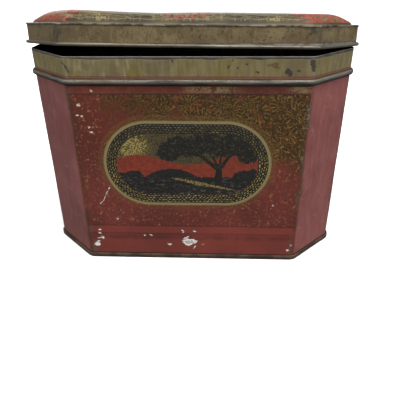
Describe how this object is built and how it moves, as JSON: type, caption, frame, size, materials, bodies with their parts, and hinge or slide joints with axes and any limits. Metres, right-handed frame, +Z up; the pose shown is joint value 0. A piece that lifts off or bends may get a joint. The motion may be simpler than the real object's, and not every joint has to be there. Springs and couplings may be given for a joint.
{
  "type": "hinged biscuit tin",
  "caption": "Octagonal tinplate box with a rolled bead and neck, and a shallow cushion-topped lid hinged at the rear and standing ajar.",
  "frame": {"origin": "middle of the footprint, hinges included, on the surface that the tin stands on", "axes": "+X across the front to the right as seen from the front, +Y from the front to the rear, +Z up"},
  "size_m": [0.2302, 0.1584, 0.1766],
  "materials": {
    "body_print": "aged satin lithographed tinplate, red",
    "lid_print": "aged satin lithographed tinplate, olive",
    "gold_band": "aged dull gold lacquer over tinplate",
    "bare_tinplate": "worn and darkened tinplate",
    "hinge_steel": "darkened steel"
  },
  "bodies": {
    "tin_body": {"body_front_sheet": "body_print", "body_rear_sheet": "body_print", "bottom_plate": "bare_tinplate", "hinge_body_leaf_left": "hinge_steel", "hinge_body_leaf_right": "hinge_steel", "hinge_pin_left": "hinge_steel", "hinge_pin_right": "hinge_steel", "body_rivets": "hinge_steel"},
    "lid": {"lid_top_panel": "lid_print", "lid_skirt_band": "gold_band", "hinge_lid_leaf_left": "hinge_steel", "hinge_lid_leaf_right": "hinge_steel", "lid_rivets": "hinge_steel"}
  },
  "joints": [
    {"name": "lid_hinge", "type": "hinge", "parent": "tin_body", "child": "lid", "pos_m": [0, 0.07762, 0.14], "axis": [-1, 0, 0], "range_deg": [-6.4, 98.6]}
  ]
}
